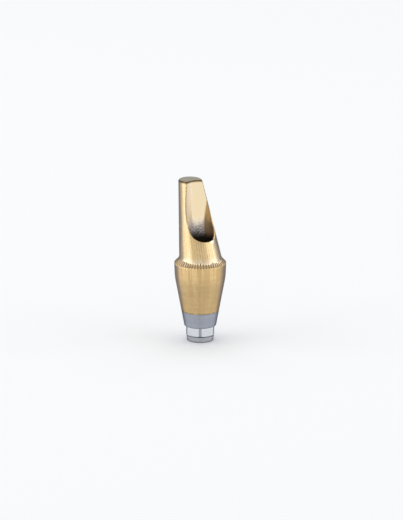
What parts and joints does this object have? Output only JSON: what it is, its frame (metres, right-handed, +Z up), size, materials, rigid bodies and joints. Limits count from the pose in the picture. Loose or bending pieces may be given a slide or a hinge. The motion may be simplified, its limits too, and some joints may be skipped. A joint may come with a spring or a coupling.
{
  "type": "dental abutment",
  "caption": "Angled titanium abutment: hexagonal foot and conical seat for an implant, bevelled shoulder, and a leaning post opened by its screw channel.",
  "frame": {"origin": "centre of the pilot's end face, on the implant axis", "axes": "+Z up the implant axis towards the crown; the post leans towards +Y, its open scoop faces -Y, and two corners of the hexagon lie on the X axis"},
  "size_m": [0.0044, 0.005, 0.014],
  "materials": {
    "coated_titanium": "satin gold titanium nitride coating on machined titanium alloy, bare grey metal on the seat and the hexagonal foot"
  },
  "bodies": {
    "root": {"abutment": "coated_titanium"}
  },
  "joints": []
}
